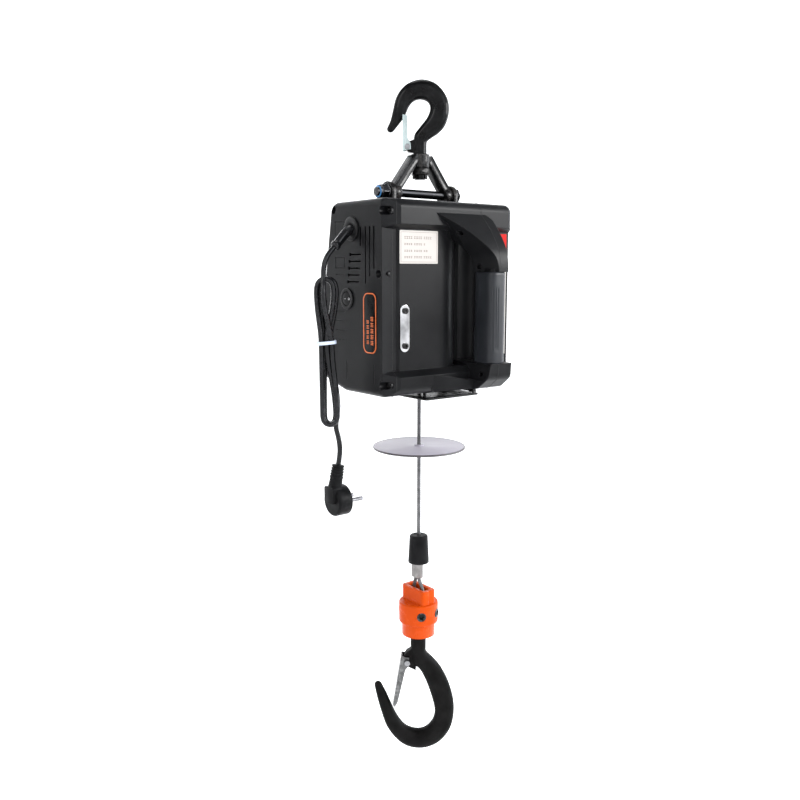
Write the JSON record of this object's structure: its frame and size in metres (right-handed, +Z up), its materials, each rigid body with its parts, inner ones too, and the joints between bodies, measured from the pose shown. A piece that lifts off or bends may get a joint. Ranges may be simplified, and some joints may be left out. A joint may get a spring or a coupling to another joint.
{
  "type": "electric wire rope hoist",
  "caption": "Portable electric wire rope hoist: moulded casing with side grip, swivel hanging hook on a yoke, limit disc, load block with safety hook, tied cord with angled plug.",
  "frame": {"origin": "seat of the hanging hook, at the top inside of its bowl", "axes": "+Z up, along the rope fall; +X along the hanger axle, away from the cable gland; the grip faces -Y"},
  "size_m": [0.2453, 0.176, 0.858],
  "materials": {
    "hook_enamel": "gloss",
    "frame_enamel": "satin",
    "latch_zinc": "satin",
    "pin_steel": "satin",
    "bolt_steel": "satin",
    "casing_black": "fine grained",
    "grip_rubber": "ribbed",
    "screw_black": "satin",
    "gear_steel": "oiled",
    "drum_iron": "machined",
    "motor_aluminium": "cast",
    "inner_plastic": "plain",
    "board_green": "lacquered",
    "plate_enamel": "satin",
    "disc_coat": "satin",
    "rope_wire": "stranded",
    "stop_rubber": "moulded",
    "ferrule_metal": "pressed",
    "block_orange": "gloss",
    "hook_coat": "matte textured",
    "switch_plastic": "gloss",
    "gland_plastic": "satin",
    "cord_rubber": "satin",
    "tie_white": "satin",
    "plug_black": "satin",
    "label_white": "printed film",
    "label_red": "printed film",
    "badge_trim": "outlined",
    "strip_chrome": "mirror"
  },
  "bodies": {
    "top_hook": {"top_hook": "hook_enamel", "top_hook_nut": "hook_enamel", "top_latch_pin": "pin_steel"},
    "top_latch": {"top_latch": "latch_zinc"},
    "yoke": {"yoke": "frame_enamel"},
    "casing": {"end_cover": "casing_black", "left_shell": "casing_black", "right_shell": "casing_black", "handle_grip": "grip_rubber", "casing_screws": "screw_black", "left_frame_plate": "frame_enamel", "right_frame_plate": "frame_enamel", "tie_rods": "bolt_steel", "gearbox_cover": "gear_steel", "shaft_bearings": "gear_steel", "hanger_axle": "bolt_steel", "axle_nut": "bolt_steel", "motor_can": "motor_aluminium", "stator": "drum_iron", "capacitor": "inner_plastic", "control_board": "board_green", "switch_bezel": "switch_plastic", "cable_gland": "gland_plastic", "strain_relief": "cord_rubber", "power_cord_lead": "cord_rubber", "cord_hank": "cord_rubber", "cord_tie": "tie_white", "power_cord_tail": "cord_rubber", "plug": "plug_black", "rating_label": "label_white", "warning_label": "label_red", "badge": "badge_trim", "chrome_strip": "strip_chrome", "bottom_plate": "plate_enamel", "rope_guide": "inner_plastic", "limit_switch": "inner_plastic", "rope_fall": "rope_wire"},
    "drum": {"rope_drum": "drum_iron", "drum_shaft": "gear_steel", "drum_gear": "gear_steel", "rope_winding": "rope_wire"},
    "idler": {"idler_shaft": "gear_steel", "idler_gear": "gear_steel"},
    "rotor": {"rotor": "gear_steel", "motor_pinion": "gear_steel", "cooling_fan": "inner_plastic"},
    "rocker": {"rocker_button": "switch_plastic"},
    "limit_lever": {"limit_lever": "plate_enamel"},
    "load_block": {"rope_eye": "rope_wire", "rubber_stop": "stop_rubber", "rope_ferrule": "ferrule_metal", "block_left_half": "block_orange", "block_right_half": "block_orange", "block_screws": "screw_black", "rope_pin": "pin_steel"},
    "limit_disc": {"limit_disc": "disc_coat"},
    "load_hook": {"load_hook": "hook_coat", "load_hook_nut": "pin_steel", "load_latch_pin": "pin_steel"},
    "load_latch": {"load_latch": "latch_zinc"}
  },
  "joints": [
    {"name": "hook_swivel", "type": "hinge", "parent": "top_hook", "child": "yoke", "pos_m": [0, 0, -0.07], "axis": [0, 0, 1], "continuous": true},
    {"name": "top_latch_hinge", "type": "hinge", "parent": "top_hook", "child": "top_latch", "pos_m": [-0.01182, 0.00924, -0.055], "axis": [-0.6157, -0.788, 0], "range_deg": [-25, 0], "stiffness_Nm_per_rad": 0.05, "springref_deg": 17.19},
    {"name": "yoke_swing", "type": "hinge", "parent": "yoke", "child": "casing", "pos_m": [0, 0, -0.11], "axis": [1, 0, 0], "range_deg": [-60, 60]},
    {"name": "hook_lift", "type": "slide", "parent": "casing", "child": "load_block", "axis": [0, 0, 1], "range_m": [-0.2, 0.062], "deforming": ["rope_fall"]},
    {"name": "drum_spin", "type": "hinge", "parent": "casing", "child": "drum", "pos_m": [0, 0.0267, -0.265], "axis": [1, 0, 0], "range_deg": [-135, 431]},
    {"name": "idler_spin", "type": "hinge", "parent": "casing", "child": "idler", "pos_m": [0, 0.00673, -0.23326], "axis": [1, 0, 0], "range_deg": [-1718, 534]},
    {"name": "motor_spin", "type": "hinge", "parent": "casing", "child": "rotor", "pos_m": [0, 0.014, -0.198], "axis": [1, 0, 0], "range_deg": [-2662, 8585]},
    {"name": "rocker_tilt", "type": "hinge", "parent": "casing", "child": "rocker", "pos_m": [-0.0985, 0.0096, -0.234], "axis": [0, 0, -1], "range_deg": [0, 14]},
    {"name": "limit_lever_hinge", "type": "hinge", "parent": "casing", "child": "limit_lever", "pos_m": [0.051, 0, -0.3495], "axis": [0, 1, 0], "range_deg": [0, 2.6], "stiffness_Nm_per_rad": 0.3, "springref_deg": -14.32},
    {"name": "disc_slide", "type": "slide", "parent": "load_block", "child": "limit_disc", "axis": [0, 0, 1], "range_m": [-0.105, 0]},
    {"name": "load_hook_swivel", "type": "hinge", "parent": "load_block", "child": "load_hook", "pos_m": [0, 0, -0.664], "axis": [0, 0, 1], "continuous": true},
    {"name": "load_latch_hinge", "type": "hinge", "parent": "load_hook", "child": "load_latch", "pos_m": [-0.0115, 0.00899, -0.7095], "axis": [-0.6157, -0.788, 0], "range_deg": [0, 28], "stiffness_Nm_per_rad": 0.08, "springref_deg": -17.19}
  ],
  "couplings": [
    {"joint": "drum_spin", "follows": "hook_lift", "rad_per_m": -37.453},
    {"joint": "idler_spin", "follows": "hook_lift", "rad_per_m": 149.81},
    {"joint": "motor_spin", "follows": "hook_lift", "rad_per_m": -749.06}
  ]
}
